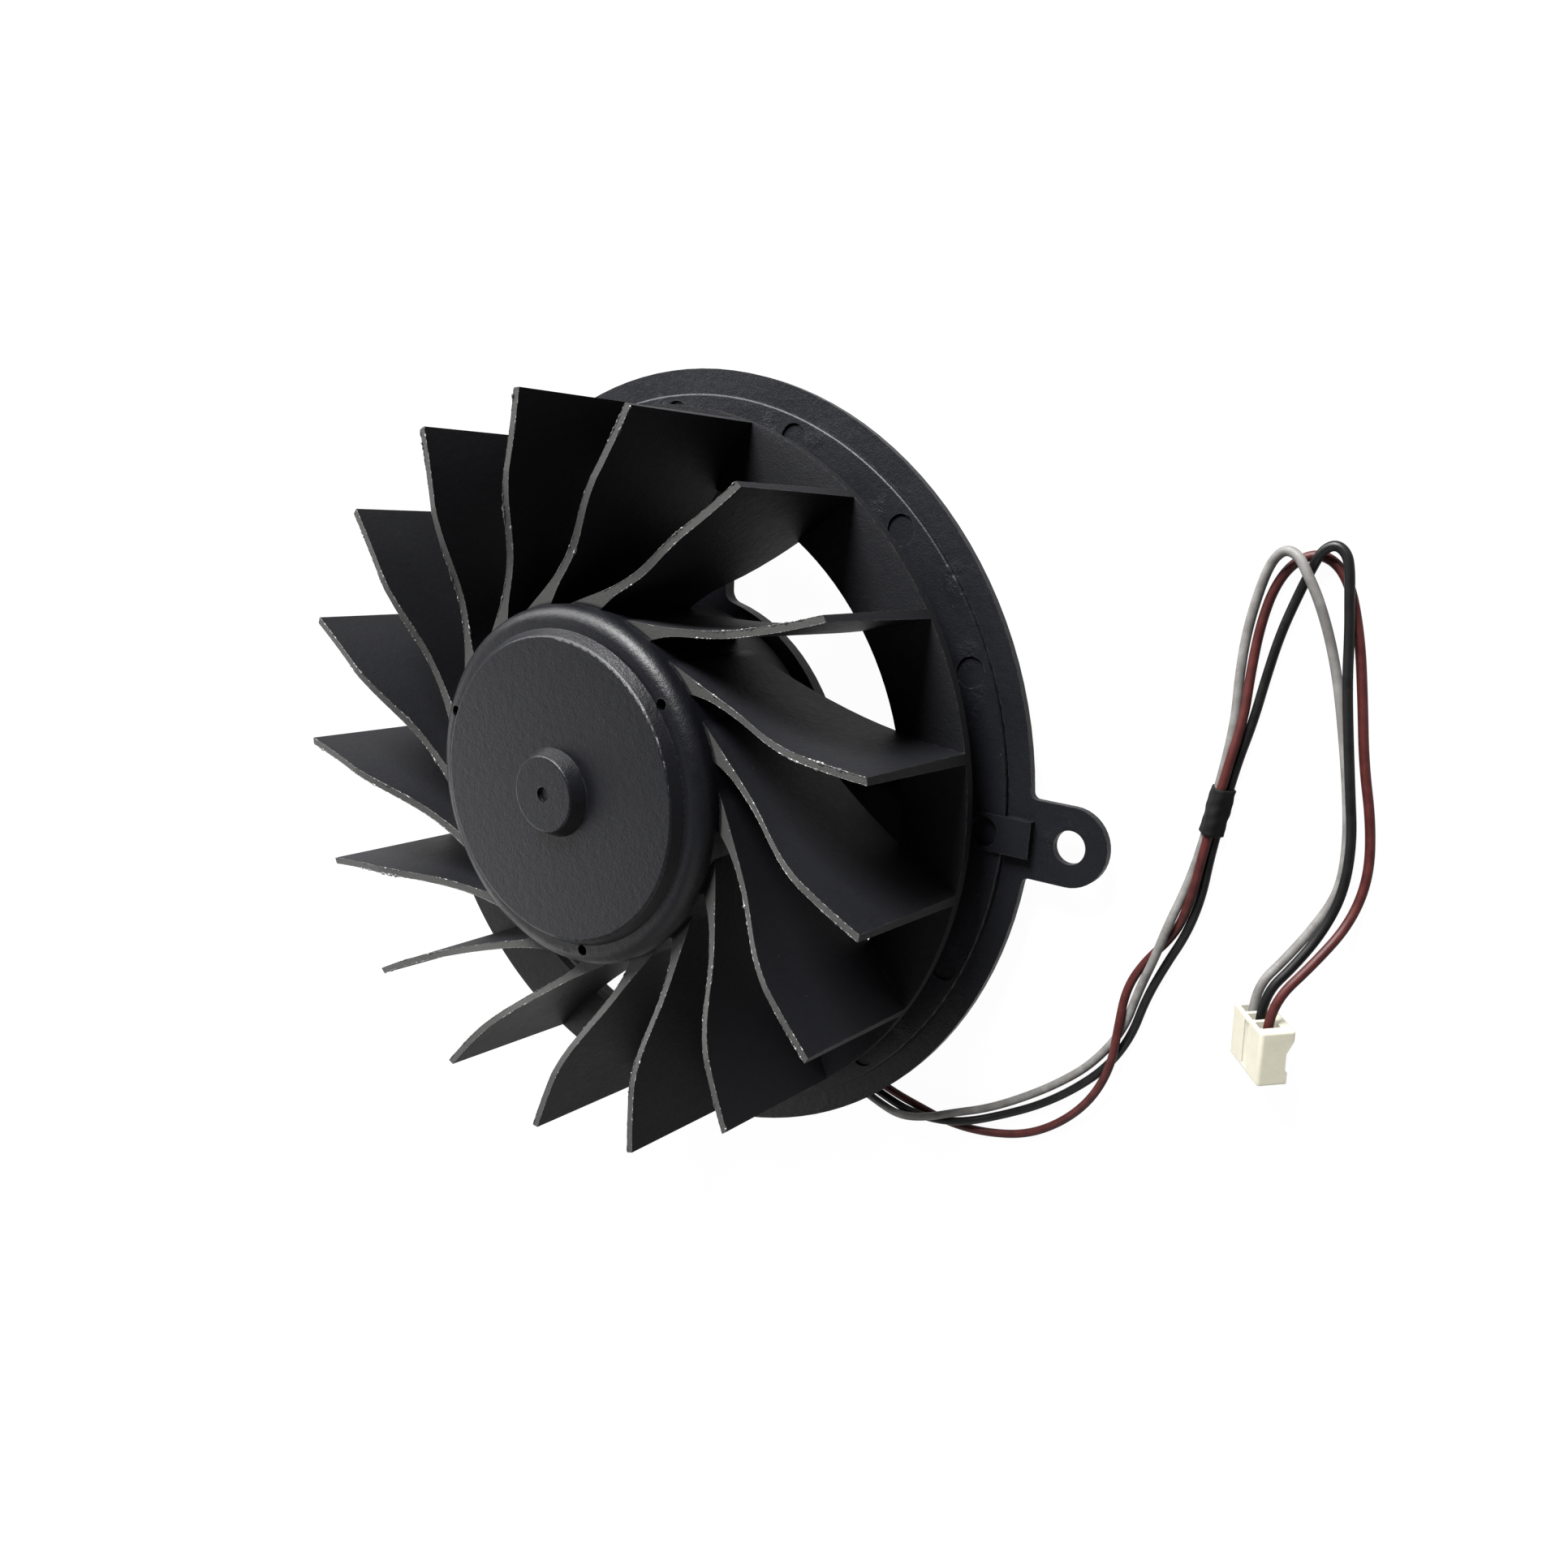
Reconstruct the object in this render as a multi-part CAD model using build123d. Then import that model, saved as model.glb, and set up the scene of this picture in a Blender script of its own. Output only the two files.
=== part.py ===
from build123d import *
import os
from math import cos, exp, hypot, radians, sin, sqrt, tan

# Dc blower fan: a bladed wheel on a brushless motor, in an open frame with two mounting ears.
# Millimetres. Z is the motor axis, z = 0 the face of the motor dish that the fan stands on, and
# +X points along the ear beside the leads.

# Clearances
seat = 0.05
race_gap = 0.02
ball_gap = 0.03

# Frame plate: flange, raised ring and windows
flange_r = 47.56
flange_low = 2.4
flange_t = 1.0
step_r = 44.75
step_h = 0.6
edge_round = 0.25
window_out_r = 38.4
window_inset = 0.6
window_corner_r = 1.5
spoke_count = 4
spoke_w = 8.0
lead_bridge_w = 5.8
lead_bridge_angle = -60.0

# Ears and the locating block beside each
ear_angles = (0.0, 180.0)
ear_reach = 52.5
ear_r = 4.5
ear_hole_r = 1.9
ear_root_round = 0.8
block_run = 3.35
block_w = 4.2
block_h = 1.0

# Shallow ejector marks on the raised ring
mark_count = 15
mark_inset = 2.45
mark_r = 1.75
mark_depth = 0.25

# Motor dish
dish_foot_r = 20.4
dish_flare = 0.8
dish_wall = 1.0
dish_floor = 1.0
dish_round = 0.7
tube_boss_wall = 1.5
post_r = 1.2
post_circle_r = 16.8
post_angles = (30.0, 150.0, 240.0)

# Ball bearings, 3 x 8 x 3
bearing_bore_r = 1.5
bearing_outer_r = 4.0
bearing_w = 3.0
inner_race_r = 2.35
outer_race_r = 3.15
ball_pitch_r = 2.75
ball_r = 0.6
ball_count = 7
cage_gap = 0.1
cage_rise = 0.35
cage_h = 0.85
lower_bearing_low = 3.6
upper_bearing_low = 17.6

# Bearing tube
tube_wall = 0.8
tube_rim = 0.3
tube_shoulder = 0.5

# Circuit board and what stands on it
board_low = 3.0
board_t = 0.8
board_r = 18.9
board_bore_gap = 0.4
sensor_size = (1.6, 3.0, 1.2)
sensor_inset = 1.7
sensor_angles = (100.0, 120.0, 140.0)
chip_size = (4.0, 5.0, 1.1)
chip_reach = 12.6
chip_angle = 0.0
capacitor_size = (1.9, 3.4, 1.9)
capacitor_reach = 12.8
capacitor_angles = (192.0, 222.0)

# Stator
slot_count = 9
stack_low = 9.6
stack_h = 7.8
stator_r = 15.8
core_hub_r = 8.2
tooth_w = 2.6
shoe_t = 1.2
slot_open = 1.5
insulator_t = 0.7
insulator_wrap = 0.35
insulator_hub_r = 9.0
coil_hub_gap = 0.7
coil_shoe_gap = 0.4
coil_gap = 1.1
coil_round = 0.9
pin_r = 0.3
pin_inset = 1.1
pin_count = 4
pin_angle = 45.0
pin_gap = 0.1
pin_foot = 0.6

# Rotor cup and magnet
air_gap = 0.4
magnet_t = 2.0
magnet_low = 8.4
magnet_h = 10.4
yoke_t = 1.0
yoke_skirt = 0.5
yoke_round = 0.8

# Impeller hub, from the rim inwards
hub_r = 20.6
hub_wall = 1.25
hub_low = 5.2
shoulder_z = 26.35
shoulder_round = 1.9
cap_foot_r = 18.0
cap_r = 17.15
cap_z = 27.6
cap_round = 0.45
cap_t = 1.5
web_t = 1.3
boss_foot_r = 5.05
boss_r = 4.25
boss_z = 29.3
boss_round = 0.3
dimple_r = 0.85
dimple_depth = 0.4
vent_r = 0.65
vent_circle_r = 18.6
vent_angle = 39.6
vent_count = 3
bush_r = 3.4
bush_low = 22.3
bush_cover = 1.2
bush_collar = 1.6

# Impeller blades and their back ring
blade_count = 17
blade_phase = 96.5
tip_r = 42.5
tip_z = 28.0
blade_t = 0.75
blade_draft = 0.4
blade_sweep = 6.42
blade_power = 2.5
root_flare = 0.85
root_flare_run = 1.1
blade_stations = (0.03, 0.11, 0.25, 0.46, 0.71)
ramp_root_z = 23.7
ramp_mid_r = 26.0
ramp_mid_z = 24.8
ramp_end_r = 34.5
ring_top = 9.5
ring_t = 1.2
ring_in_r = 34.6
ring_sink = 0.3

# Shaft and its small parts
shaft_low = 2.3
shaft_grip = 4.6
groove_depth = 0.3
clip_t = 0.4
clip_r = 2.4
clip_mouth = 70.0
washer_t = 0.3
washer_r = 2.2
spring_wire_r = 0.18
spring_r = 2.0
spring_turns = 2.5

# Leads
lead_r = 0.5
lead_pitch = 1.15
lead_gap = 0.15
tail_z = dish_floor + lead_r + seat
lip_end_r = 33.0
joint_reach = 14.6
joint_r = 0.7
joint_gap = 0.2
sleeve_gap = 0.06
sleeve_wall = 0.22
sleeve_len = 5.3

# Connector: three ways, 2 mm apart, lying tilted on one long edge
plug_ways = 3
plug_pitch = 2.0
plug_end = 1.85
plug_t = 2.85
plug_len = 6.0
plug_round = 0.4
plug_lip = 0.8
plug_lip_len = 1.0
plug_lip_run = 1.5
plug_step = 0.25
plug_step_len = 1.4
groove_w = 1.2
groove_sink = 0.2
cavity_w = 1.3
cavity_t = 1.7
pocket_gap = 0.12
pocket_depth = 0.8
contact_gap = 0.08
contact_start = 1.25
contact_len = 4.3
contact_pin = 0.6
contact_lip = 0.4
wire_inset = 1.2
plug_place = (76.24, -12.63, 4.79)
plug_heading = -87.1
plug_tilt = 51.9
plug_pitch_down = 6.2

# Routes of the leads from under the flange to the plug, each point chosen by hand
red_brown_route = [
    (27.40, -35.10, 1.55), (31.60, -36.50, 1.55), (35.50, -37.95, 0.52), (39.75, -38.70, 0.52),
    (44.72, -38.36, 0.52), (50.12, -36.85, 0.52), (54.57, -33.69, 0.60), (58.28, -29.08, 1.50),
    (60.10, -24.18, 1.75), (60.25, -19.63, 1.65), (60.15, -15.30, 0.55), (61.80, -11.60, 0.52),
    (64.90, -7.60, 0.52), (66.30, -2.85, 1.50), (66.82, 1.88, 1.76), (67.98, 11.32, 1.76),
    (68.70, 16.20, 1.15), (68.50, 21.00, 0.52), (68.70, 25.60, 0.52), (69.50, 29.60, 0.52),
    (71.20, 32.20, 0.52), (73.80, 33.00, 0.52), (76.40, 31.00, 0.52), (78.40, 25.60, 0.52),
    (79.70, 19.80, 0.52), (80.90, 13.80, 0.52), (82.60, 8.20, 0.52), (83.40, 2.80, 0.52),
    (82.62, -1.93, 1.50), (80.48, -5.93, 4.10), (77.37, -10.56, 6.59), (77.54, -13.93, 6.22)]
black_route = [
    (26.90, -36.20, 1.55), (31.00, -37.60, 1.55), (34.65, -38.40, 1.64), (38.75, -38.25, 1.64),
    (42.64, -37.20, 1.50), (47.05, -35.10, 0.70), (51.38, -32.50, 0.52), (55.39, -29.25, 0.52),
    (59.13, -25.25, 0.52), (61.55, -20.67, 0.52), (63.00, -15.63, 0.52), (64.60, -11.10, 0.52),
    (66.25, -7.20, 0.52), (67.10, -2.90, 0.60), (67.37, 1.82, 0.80), (68.53, 11.25, 0.80),
    (69.50, 16.00, 0.52), (70.10, 20.60, 0.52), (70.80, 25.00, 0.52), (72.00, 29.00, 0.75),
    (73.00, 31.60, 1.20), (73.75, 33.20, 1.72), (74.95, 33.90, 1.75), (76.15, 33.10, 1.75),
    (76.65, 31.50, 1.75), (77.00, 29.40, 1.75), (77.60, 26.00, 1.70), (78.20, 21.40, 1.70),
    (79.20, 16.40, 1.70), (80.30, 11.20, 1.70), (81.40, 6.20, 1.70), (81.50, 1.20, 1.70),
    (80.40, -3.00, 2.20), (78.60, -6.68, 3.55), (76.13, -10.45, 5.03), (76.30, -13.82, 4.66)]
grey_route = [
    (26.40, -37.35, 1.55), (30.50, -38.95, 1.55), (34.20, -38.75, 2.70), (37.60, -37.80, 2.65),
    (40.85, -36.50, 1.65), (44.95, -34.90, 0.80), (49.40, -32.10, 0.52), (53.60, -28.90, 0.52),
    (57.37, -25.30, 0.52), (60.50, -20.30, 0.52), (61.65, -15.05, 0.60), (63.30, -10.40, 1.65),
    (64.20, -6.60, 1.60), (65.30, -2.40, 0.75), (66.27, 1.95, 0.80), (67.43, 11.38, 0.80),
    (67.70, 16.20, 0.52), (67.40, 20.80, 0.52), (67.50, 25.20, 0.60), (68.30, 29.60, 1.00),
    (69.20, 32.00, 1.60), (70.40, 33.05, 2.00), (71.75, 32.60, 2.30), (72.80, 31.20, 2.40),
    (74.40, 28.60, 2.10), (75.80, 25.00, 0.90), (77.10, 21.20, 0.52), (78.50, 16.20, 0.52),
    (79.80, 11.00, 0.52), (80.80, 5.80, 0.52), (80.90, 0.80, 0.52), (79.20, -3.20, 0.75),
    (77.15, -6.92, 1.90), (74.89, -10.34, 3.46), (75.06, -13.71, 3.10)]
points_before_sleeve_count = 14

# Heights and radii that follow from the sizes above
flange_top = flange_low + flange_t
step_top = flange_top + step_h
tube_in_r = bearing_outer_r + race_gap
tube_r = tube_in_r + tube_wall
dish_top_r = dish_foot_r + dish_flare
window_in_r = dish_top_r + window_inset
mark_circle_r = step_r - mark_inset
boss_top = board_low - seat
tube_top = upper_bearing_low + bearing_w + tube_rim
sensor_circle_r = board_r - sensor_inset
pin_circle_r = insulator_hub_r - pin_inset
bobbin_w = tooth_w + 2 * insulator_wrap + 2 * seat
coil_in_r = insulator_hub_r + coil_hub_gap
coil_out_r = stator_r - shoe_t - coil_shoe_gap
coil_build = coil_in_r * tan(radians(180 / slot_count)) - (coil_gap + bobbin_w) / 2
joint_pitch = 2 * joint_r + joint_gap
tail_start = joint_reach + joint_r + seat
channel_w = 2 * (lead_pitch + lead_r + lead_gap)
stack_top = stack_low + stack_h
magnet_in_r = stator_r + air_gap
magnet_r = magnet_in_r + magnet_t
yoke_in_r = magnet_r + seat
yoke_r = yoke_in_r + yoke_t
hub_in_r = hub_r - hub_wall
yoke_top = shoulder_z - web_t - seat
ring_low = ring_top - ring_t
back_tip_r = tip_r + blade_draft
bush_top = boss_z - bush_cover
shaft_top = bush_low + shaft_grip
clip_top = lower_bearing_low - washer_t - 2 * race_gap
upper_race_top = upper_bearing_low + bearing_w
plug_w = (plug_ways - 1) * plug_pitch + 2 * plug_end


# Shapes used by several parts

def disc(radius, low, high):
    """A round plate about the axis, between two heights."""
    return Pos(0, 0, low) * Cylinder(radius, high - low, align=(Align.CENTER, Align.CENTER, Align.MIN))


def ring(outer, inner, low, high):
    """A flat ring about the axis, between two heights."""
    return disc(outer, low, high) - disc(inner, low - 1, high + 1)


def turned(points, rounds=()):
    """A solid turned about the axis from (radius, height) points. rounds names corners to round."""
    face = make_face(Polyline(*points, close=True))
    for radius, height, size in rounds:
        corner = face.vertices().sort_by_distance((radius, height, 0))[0]
        face = fillet(corner, size)
    return revolve(Plane.XZ * face, Axis.Z)


def polar(shape, angles, reach=0.0):
    """Copies of a shape, each moved out along +X and turned to its angle about the axis."""
    return [Rot(0, 0, angle) * Pos(reach, 0, 0) * shape for angle in angles]


def block(size, low):
    """A box centred on the axis, with its lower face at a height."""
    return Pos(0, 0, low) * Box(*size, align=(Align.CENTER, Align.CENTER, Align.MIN))


def spread(count, first=0.0):
    """Evenly spaced angles about the axis."""
    return [first + k * 360 / count for k in range(count)]


# Frame

def frame_plan():
    """The flange seen from above: a disc with two round-ended ears, each with its hole."""
    plan = Circle(flange_r)
    for angle in ear_angles:
        arm = Pos(ear_reach / 2, 0) * Rectangle(ear_reach, 2 * ear_r)
        plan += Rot(0, 0, angle) * (arm + Pos(ear_reach, 0) * Circle(ear_r))
    corners = [v for v in plan.vertices() if abs(hypot(v.X, v.Y) - flange_r) < 0.01]
    plan = fillet(corners, ear_root_round)
    for angle in ear_angles:
        plan -= Rot(0, 0, angle) * Pos(ear_reach, 0) * Circle(ear_hole_r)
    return plan


def window_plan():
    """The openings between the spokes and the lead bridge, with rounded corners."""
    plan = Circle(window_out_r) - Circle(window_in_r)
    bars = [(angle, spoke_w) for angle in spread(spoke_count)]
    for angle, width in bars + [(lead_bridge_angle, lead_bridge_w)]:
        plan -= Rot(0, 0, angle) * Pos(window_out_r / 2, 0) * Rectangle(window_out_r + 4, width)
    return fillet(plan.vertices(), window_corner_r)


def lead_channel():
    """Two lips under the lead bridge, with room for the leads between them."""
    length = lip_end_r - dish_foot_r
    lips = Box(length, lead_bridge_w, flange_low - dish_floor) - Box(length + 1, channel_w, flange_low)
    middle = (lip_end_r + dish_foot_r) / 2
    return Rot(0, 0, lead_bridge_angle) * Pos(middle, 0, (flange_low + dish_floor) / 2) * lips


def base_frame():
    """Flange, ears, raised ring, spokes, lead bridge and motor dish, one moulding."""
    body = Pos(0, 0, flange_low) * extrude(frame_plan(), flange_t)
    body += turned([(0, flange_low), (step_r, flange_low), (step_r, step_top), (0, step_top)],
                   [(step_r, step_top, edge_round)])
    locator = block((2 * block_run, block_w, block_h + flange_t / 2), flange_low + flange_t / 2)
    body += polar(locator, ear_angles, step_r)
    body -= Pos(0, 0, flange_low - 1) * extrude(window_plan(), flange_t + step_h + 2)
    body += turned([(0, 0), (dish_foot_r, 0), (dish_top_r, step_top), (0, step_top)],
                   [(dish_foot_r, 0, dish_round)])
    body += lead_channel()
    body -= disc(dish_foot_r - dish_wall, dish_floor, step_top + 1)
    body += ring(tube_r + seat + tube_boss_wall, tube_r + seat, dish_floor - 0.2, boss_top)
    body += polar(disc(post_r, dish_floor - 0.2, boss_top), post_angles, post_circle_r)
    notch = block((4 * dish_wall, channel_w, flange_low - dish_floor), dish_floor)
    body -= polar(notch, [lead_bridge_angle], dish_foot_r)
    marks = polar(disc(mark_r, step_top - mark_depth, step_top + 1), spread(mark_count), mark_circle_r)
    return body - marks


def bearing_tube():
    """Brass tube that carries both bearings and the stator, with a shoulder for each bearing."""
    tube = ring(tube_r, tube_in_r, dish_floor + seat, tube_top)
    low = lower_bearing_low + bearing_w + race_gap
    high = upper_bearing_low - race_gap
    return tube + ring(tube_r - 0.1, tube_in_r - tube_shoulder, low, high)


# Bearings

def ball_track():
    """The torus that the balls run in, a little larger than the balls."""
    return Torus(ball_pitch_r, ball_r + ball_gap)


def outer_race(low):
    """Outer race with its ball groove."""
    middle = low + bearing_w / 2
    return ring(bearing_outer_r, outer_race_r, low, low + bearing_w) - Pos(0, 0, middle) * ball_track()


def inner_race(low):
    """Inner race with its ball groove."""
    middle = low + bearing_w / 2
    sleeve = ring(inner_race_r, bearing_bore_r + race_gap, low, low + bearing_w)
    return sleeve - Pos(0, 0, middle) * ball_track()


def bearing_balls(low):
    """The balls of one bearing."""
    middle = low + bearing_w / 2
    return Compound(polar(Pos(0, 0, middle) * Sphere(ball_r), spread(ball_count), ball_pitch_r))


def bearing_cage(low):
    """Crown that keeps the balls apart: a ring above them with a pocket over each."""
    middle = low + bearing_w / 2
    crown = ring(outer_race_r - cage_gap, inner_race_r + cage_gap, middle + cage_rise,
                 middle + cage_rise + cage_h)
    pocket = Pos(0, 0, middle) * Sphere(ball_r + ball_gap)
    return crown - polar(pocket, spread(ball_count), ball_pitch_r)


# Stator

def stator_core():
    """Laminated core: nine teeth with curved shoes, pressed over the bearing tube."""
    plan = Circle(core_hub_r) + (Circle(stator_r) - Circle(stator_r - shoe_t))
    tooth = Pos(stator_r / 2, 0) * Rectangle(stator_r - shoe_t, tooth_w)
    for angle in spread(slot_count):
        plan += Rot(0, 0, angle) * tooth
    for angle in spread(slot_count, 180 / slot_count):
        plan -= Rot(0, 0, angle) * Pos(stator_r, 0) * Rectangle(4 * shoe_t, slot_open)
    plan -= Circle(tube_r + seat)
    return Pos(0, 0, stack_low) * extrude(plan, stack_h)


def insulator(low):
    """Bobbin plate on one end of the core: a hub and nine fingers that the coils are wound over."""
    plan = Circle(insulator_hub_r)
    length = stator_r - shoe_t - 0.2
    for angle in spread(slot_count):
        plan += Rot(0, 0, angle) * Pos(length / 2, 0) * Rectangle(length, tooth_w + 2 * insulator_wrap)
    plan -= Circle(tube_r + seat)
    return Pos(0, 0, low) * extrude(plan, insulator_t)


def stator_coils():
    """Nine windings, each a rounded band round its tooth and both bobbin plates."""
    bobbin_h = stack_h + 2 * (insulator_t + 2 * seat)
    outline = RectangleRounded(bobbin_h + 2 * coil_build, bobbin_w + 2 * coil_build, coil_round)
    coil = extrude(outline - Rectangle(bobbin_h, bobbin_w), coil_out_r - coil_in_r)
    coil = Pos(0, 0, stack_low + stack_h / 2) * Rot(0, 90, 0) * coil
    return Compound(polar(coil, spread(slot_count), coil_in_r))


def winding_pins():
    """Pins from the lower bobbin plate down through the board."""
    top = stack_low - insulator_t - 2 * seat
    pin = disc(pin_r, board_low - pin_foot, top)
    return Compound(polar(pin, spread(pin_count, pin_angle), pin_circle_r))


def circuit_board():
    """Ring-shaped board on the dish's posts, with holes for the winding pins."""
    board = ring(board_r, tube_r + board_bore_gap, board_low, board_low + board_t)
    hole = disc(pin_r + pin_gap, board_low - board_t, board_low + 2 * board_t)
    return board - polar(hole, spread(pin_count, pin_angle), pin_circle_r)


def on_board(size, angles, reach):
    """Small parts standing on the board."""
    return Compound(polar(block(size, board_low + board_t + seat), angles, reach))


# Rotor

def blade_half_width(radius):
    """Half the blade's thickness at its front edge, flared where it runs into the hub."""
    return blade_t / 2 + root_flare * exp(-(radius - hub_r) / root_flare_run)


def blade_section(tip, extra, height):
    """Plan of one blade at a height: its mean line is swept back by a power of the radius."""
    root = hub_r - hub_wall / 2
    radii = [root] + [hub_r + share * (tip - hub_r) for share in blade_stations] + [tip]
    sides = []
    for side in (1, -1):
        points = []
        for radius in radii:
            angle = radians(blade_sweep * ((tip / radius) ** blade_power - 1))
            offset = side * (blade_half_width(max(radius, hub_r)) + extra) / lean_factor(radius, tip)
            along = (radius * cos(angle), radius * sin(angle))
            points.append((along[0] - offset * sin(angle), along[1] + offset * cos(angle)))
        sides.append(points)
    outline = Spline(*sides[0]) + Spline(*sides[1])
    outline += Line(sides[0][0], sides[1][0]) + Line(sides[0][-1], sides[1][-1])
    return Pos(0, 0, height) * make_face(outline)


def lean_factor(radius, tip):
    """Cosine of the mean line's angle to the radius, so that the thickness is true across the blade."""
    slope = radians(blade_sweep) * blade_power * (tip / radius) ** blade_power
    return 1 / sqrt(1 + slope * slope)


def front_ramp():
    """What is cut away above the blades' front edges, which rise from the hub to the tip plane."""
    start = (hub_r - hub_wall, ramp_root_z)
    edge = Spline(start, (ramp_mid_r, ramp_mid_z), (ramp_end_r, tip_z), tangents=[(1, 0.05), (1, 0.12)])
    lid = Polyline((ramp_end_r, tip_z), (ramp_end_r, tip_z + 2), (start[0], tip_z + 2), start)
    return revolve(Plane.XZ * make_face(edge + lid), Axis.Z)


def blade():
    """One blade, thicker at the back ring than at its front edge by the mould's draft."""
    back = blade_section(back_tip_r, blade_draft / 2, ring_top - ring_sink)
    front = blade_section(tip_r, 0, tip_z)
    return loft([back, front], ruled=True) - front_ramp()


def hub():
    """The drum that covers the motor: stepped cap, boss, and a socket for the brass bush."""
    inside = shoulder_z - web_t
    pocket = cap_z - cap_t
    socket = bush_r + seat
    outline = [(0, boss_z), (boss_r, boss_z), (boss_foot_r, cap_z), (cap_r, cap_z),
               (cap_foot_r, shoulder_z), (hub_r, shoulder_z), (hub_r, hub_low), (hub_in_r, hub_low),
               (hub_in_r, inside), (cap_r - cap_t, inside), (cap_r - cap_t, pocket),
               (socket + bush_collar, pocket), (socket + bush_collar, bush_low + 0.5),
               (socket, bush_low + 0.5), (socket, bush_top + seat), (0, bush_top + seat)]
    rounds = [(boss_r, boss_z, boss_round), (cap_r, cap_z, cap_round), (hub_r, shoulder_z, shoulder_round)]
    body = turned(outline, rounds)
    body -= disc(dimple_r, boss_z - dimple_depth, boss_z + 1)
    return body - polar(disc(vent_r, inside - 1, cap_z), spread(vent_count, vent_angle), vent_circle_r)


def impeller():
    """Hub, blades and back ring, one moulding."""
    body = hub() + ring(back_tip_r, ring_in_r, ring_low, ring_top)
    return body + polar(blade(), spread(blade_count, blade_phase))


def rotor_yoke():
    """Drawn steel cup inside the hub, with a hole round the bush's collar."""
    hole_r = bush_r + bush_collar + 3 * seat
    low = magnet_low - yoke_skirt
    roof = yoke_top - yoke_t
    outline = [(hole_r, yoke_top), (yoke_r, yoke_top), (yoke_r, low), (yoke_in_r, low),
               (yoke_in_r, roof), (hole_r, roof)]
    return turned(outline, [(yoke_r, yoke_top, yoke_round), (yoke_in_r, roof, yoke_round / 2)])


def rotor_magnet():
    """Ring magnet glued in the cup."""
    return ring(magnet_r, magnet_in_r, magnet_low, magnet_low + magnet_h)


def hub_bush():
    """Brass bush that holds the top of the shaft."""
    return ring(bush_r, bearing_bore_r + race_gap, bush_low, bush_top)


def shaft():
    """Steel shaft with a groove for the retaining clip near its foot."""
    groove = ring(bearing_bore_r + 1, bearing_bore_r - groove_depth, clip_top - clip_t - race_gap,
                  clip_top + race_gap)
    return disc(bearing_bore_r, shaft_low, shaft_top) - groove


def retaining_clip():
    """Open ring snapped into the shaft's groove."""
    clip = ring(clip_r, bearing_bore_r - groove_depth + race_gap, clip_top - clip_t, clip_top)
    reach = 2 * clip_r
    half = reach * tan(radians(clip_mouth / 2))
    mouth = make_face(Polyline((0, 0), (reach, half), (reach, -half), close=True))
    return clip - Pos(0, 0, clip_top - clip_t - 1) * extrude(mouth, clip_t + 2)


def thrust_washer():
    """Washer between the clip and the lower bearing's inner race."""
    return ring(washer_r, bearing_bore_r + race_gap, clip_top + race_gap, clip_top + race_gap + washer_t)


def preload_spring():
    """Coil spring between the upper inner race and the bush."""
    low = upper_race_top + race_gap + spring_wire_r
    height = bush_low - race_gap - spring_wire_r - low
    path = Pos(0, 0, low) * Helix(height / spring_turns, height, spring_r)
    return sweep(Plane(origin=path @ 0, z_dir=path % 0) * Circle(spring_wire_r), path=path)


# Leads

def bend_radii(points):
    """One radius for each corner of a route, as large as its two runs allow."""
    places = [Vector(*p) for p in points]
    radii = []
    for before, here, after in zip(places, places[1:], places[2:]):
        turn = radians((here - before).get_angle(after - here))
        shorter = min((here - before).length, (after - here).length)
        radii.append(0.45 * shorter / tan(turn / 2))
    return radii


def cord(points, radius, name):
    """A round tube along straight runs joined by tangent arcs."""
    radii = bend_radii(points)
    path = FilletPolyline(*points, radius=radii)
    start = Plane(origin=path @ 0, z_dir=path % 0)
    solid = sweep(start * Circle(radius), path=path)
    section = 3.14159265 * radius ** 2
    print(name, "length %.1f" % path.length, "least radius %.1f" % min(radii),
          "volume ratio %.4f" % (solid.volume / (section * path.length)))
    return solid


def bridge_point(along, across, height):
    """A point given along and across the lead bridge."""
    angle = radians(lead_bridge_angle)
    return (along * cos(angle) - across * sin(angle), along * sin(angle) + across * cos(angle), height)


def tail_route(route, across):
    """A lead's held stretch: along the bridge, then in line with its first free run."""
    angle = radians(lead_bridge_angle)
    (x, y, z), (next_x, next_y, next_z) = route[:2]
    step_x, step_y = next_x - x, next_y - y
    offset_now = y * cos(angle) - x * sin(angle)
    back = (offset_now - across) / (step_y * cos(angle) - step_x * sin(angle))
    corner = (x - back * step_x, y - back * step_y, tail_z)
    return [bridge_point(tail_start, across, tail_z), corner, (x, y, tail_z)]


def lead_tail(route, side, name):
    """One lead where the frame holds it."""
    return cord(tail_route(route, side * lead_pitch), lead_r, name)


def lead_joints():
    """Solder joints between the board's underside and the ends of the leads."""
    joint = disc(joint_r, dish_floor + 0.2, board_low - seat / 2)
    parts = []
    for side in (1, 0, -1):
        parts.append(Pos(*bridge_point(joint_reach, side * joint_pitch, 0)) * joint)
    return Compound(parts)


def lead_sleeve():
    """Shrunk sleeve that keeps the three leads together, one lead resting on the other two."""
    first = points_before_sleeve_count
    middles = []
    for route in (grey_route, black_route, red_brown_route):
        middles.append((Vector(*route[first]) + Vector(*route[first + 1])) / 2)
    along = (Vector(*grey_route[first + 1]) - Vector(*grey_route[first])).normalized()
    across = (middles[1] - middles[0]).normalized()
    plane = Plane(origin=middles[0] - along * (sleeve_len / 2), x_dir=across, z_dir=along)
    places = [plane.to_local_coords(m) for m in middles]
    rounds = [edge for p in places for edge in (Pos(p.X, p.Y) * Circle(lead_r + sleeve_gap)).edges()]
    inside = make_hull(rounds)
    outside = offset(inside, sleeve_wall)
    return plane * extrude(outside - inside, sleeve_len)


# Connector, built with its wire face at z = 0 and its length along +Z

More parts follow.
